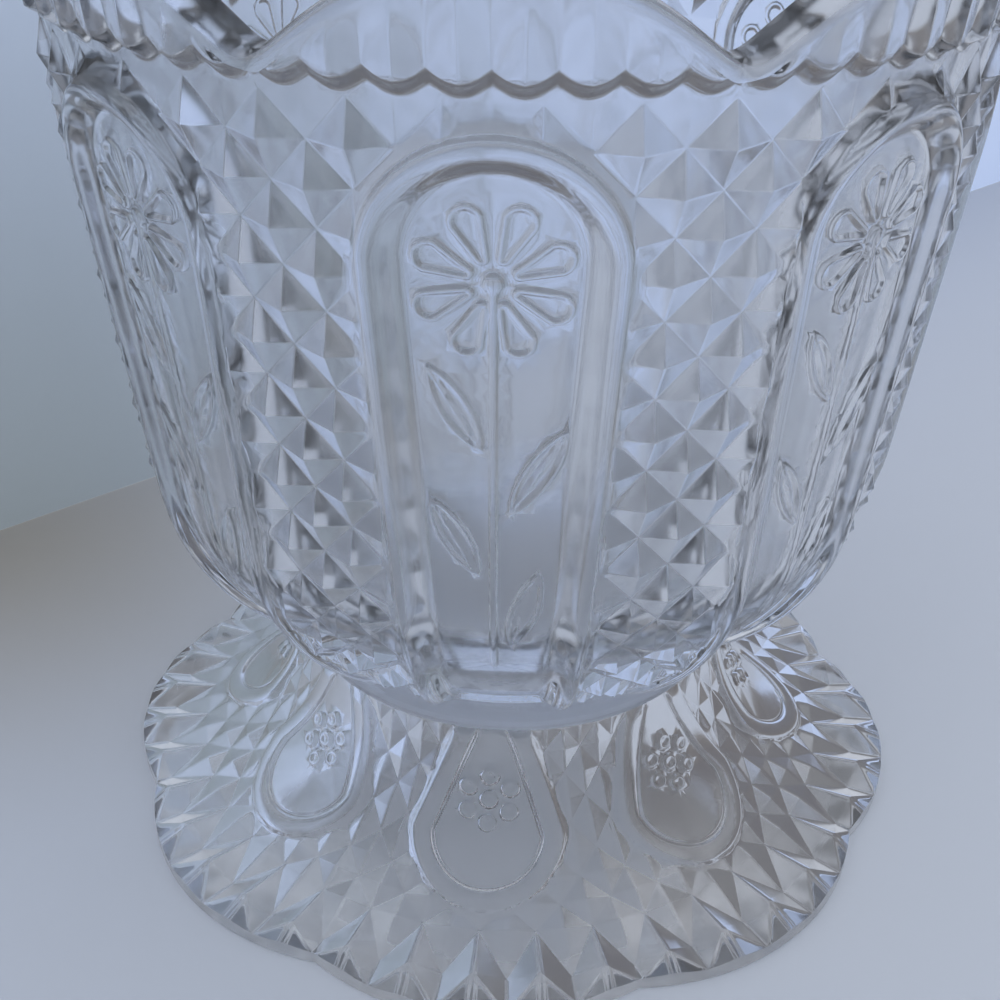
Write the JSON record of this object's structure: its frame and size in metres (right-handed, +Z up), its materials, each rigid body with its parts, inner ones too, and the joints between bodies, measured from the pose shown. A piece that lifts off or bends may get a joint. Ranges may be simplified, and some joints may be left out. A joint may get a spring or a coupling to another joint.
{
  "type": "footed bowl",
  "caption": "Footed bowl of clear pressed glass with a scalloped rim, arched daisy panels between fields of diamond points, and a low domed foot with a scalloped edge.",
  "frame": {"origin": "middle of the resting face, where the foot's ring touches the table", "axes": "+Z up along the bowl's axis, -Y towards the middle of one arched panel"},
  "size_m": [0.1208, 0.1208, 0.1305],
  "materials": {
    "clear_glass": "fire-polished gloss"
  },
  "bodies": {
    "root": {"bowl": "clear_glass", "joining_wafer": "clear_glass", "foot": "clear_glass"}
  },
  "joints": []
}
